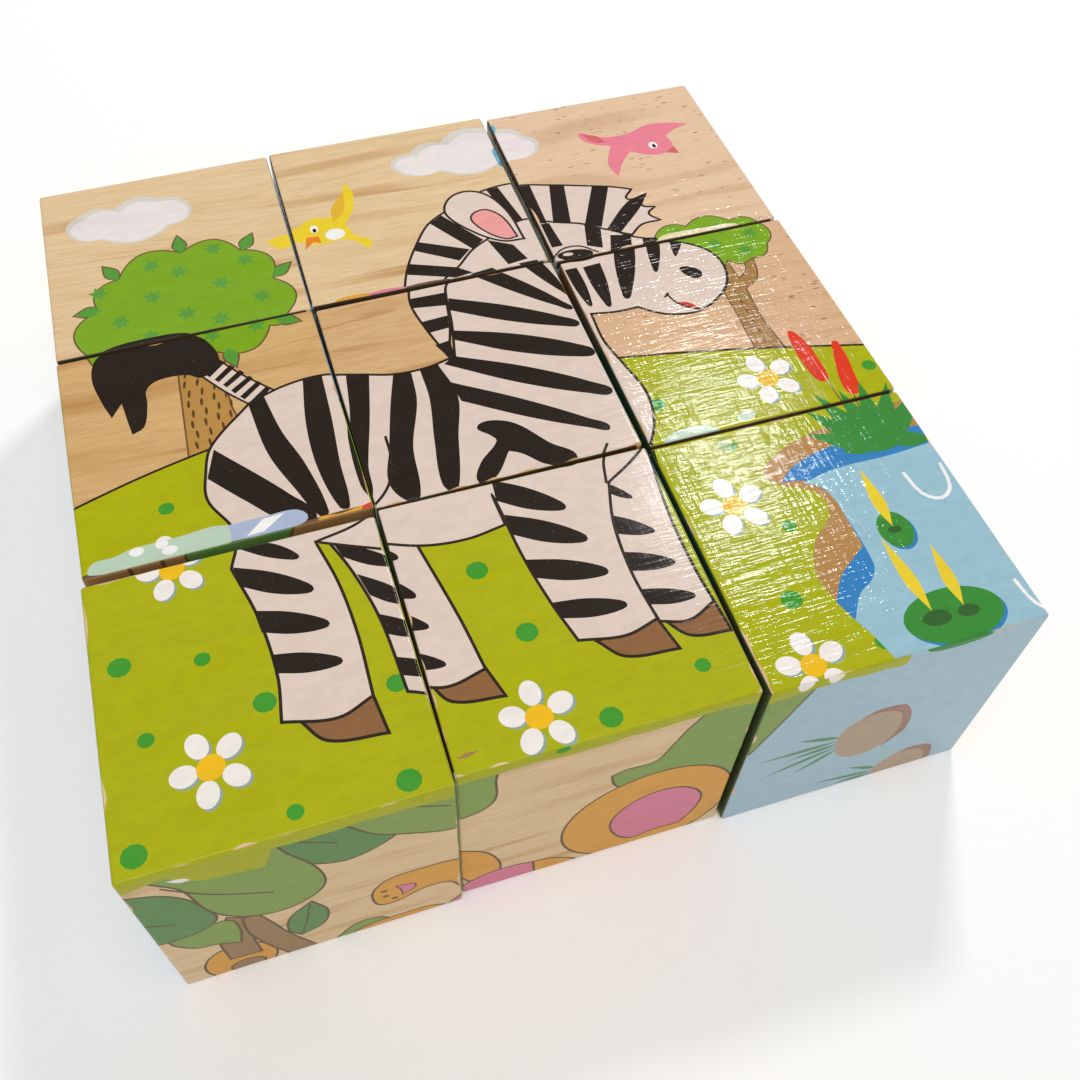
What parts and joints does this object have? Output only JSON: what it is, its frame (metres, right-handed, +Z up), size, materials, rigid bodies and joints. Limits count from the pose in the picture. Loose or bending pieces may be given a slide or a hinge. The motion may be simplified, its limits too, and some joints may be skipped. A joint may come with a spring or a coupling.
{
  "type": "picture cube puzzle",
  "caption": "Picture puzzle of loose solid wood cubes laid in a square, with a printed picture tile on every face; the outer cubes tip outwards to show another face.",
  "frame": {"origin": "middle of the laid-out set, on the surface that it stands on", "axes": "+X to the right of the laid picture, +Y to its top edge, +Z up out of the picture"},
  "size_m": [0.1034, 0.1068, 0.035],
  "materials": {
    "wood": "sanded, clear lacquer",
    "top_print": "printed film under clear lacquer",
    "other_prints": "printed film under clear lacquer"
  },
  "bodies": {
    "cube_front_left": {"block_front_left": "wood", "top_print_front_left": "top_print", "other_prints_front_left": "other_prints"},
    "cube_front_middle": {"block_front_middle": "wood", "top_print_front_middle": "top_print", "other_prints_front_middle": "other_prints"},
    "cube_front_right": {"block_front_right": "wood", "top_print_front_right": "top_print", "other_prints_front_right": "other_prints"},
    "cube_middle_left": {"block_middle_left": "wood", "top_print_middle_left": "top_print", "other_prints_middle_left": "other_prints"},
    "cube_middle_middle": {"block_middle_middle": "wood", "top_print_middle_middle": "top_print", "other_prints_middle_middle": "other_prints"},
    "cube_middle_right": {"block_middle_right": "wood", "top_print_middle_right": "top_print", "other_prints_middle_right": "other_prints"},
    "cube_back_left": {"block_back_left": "wood", "top_print_back_left": "top_print", "other_prints_back_left": "other_prints"},
    "cube_back_middle": {"block_back_middle": "wood", "top_print_back_middle": "top_print", "other_prints_back_middle": "other_prints"},
    "cube_back_right": {"block_back_right": "wood", "top_print_back_right": "top_print", "other_prints_back_right": "other_prints"}
  },
  "joints": [
    {"name": "tip_front_left", "type": "hinge", "parent": "cube_middle_middle", "child": "cube_front_left", "pos_m": [-0.05094, -0.03582, 0.0004], "axis": [0.0035, -1, 0], "range_deg": [0, 90]},
    {"name": "tip_middle_left", "type": "hinge", "parent": "cube_middle_middle", "child": "cube_middle_left", "pos_m": [-0.05098, 0, 0.0004], "axis": [0.014, -0.9999, 0], "range_deg": [0, 90]},
    {"name": "tip_back_left", "type": "hinge", "parent": "cube_middle_middle", "child": "cube_back_left", "pos_m": [-0.05124, 0.03548, 0.0004], "axis": [0.0035, -1, 0], "range_deg": [0, 90]},
    {"name": "tip_front_right", "type": "hinge", "parent": "cube_middle_middle", "child": "cube_front_right", "pos_m": [0.05106, -0.03587, 0.0004], "axis": [0.0035, 1, 0], "range_deg": [0, 90]},
    {"name": "tip_middle_right", "type": "hinge", "parent": "cube_middle_middle", "child": "cube_middle_right", "pos_m": [0.05126, -0.00054, 0.0004], "axis": [0.0017, 1, 0], "range_deg": [0, 90]},
    {"name": "tip_back_right", "type": "hinge", "parent": "cube_middle_middle", "child": "cube_back_right", "pos_m": [0.05106, 0.03475, 0.0004], "axis": [0.0052, 1, 0], "range_deg": [0, 90]},
    {"name": "tip_front_middle", "type": "hinge", "parent": "cube_middle_middle", "child": "cube_front_middle", "pos_m": [-0.00012, -0.05216, 0.0004], "axis": [1, -0.0052, 0], "range_deg": [0, 90]},
    {"name": "tip_back_middle", "type": "hinge", "parent": "cube_middle_middle", "child": "cube_back_middle", "pos_m": [-0.00025, 0.05289, 0.0004], "axis": [-1, 0.0052, 0], "range_deg": [0, 90]}
  ]
}
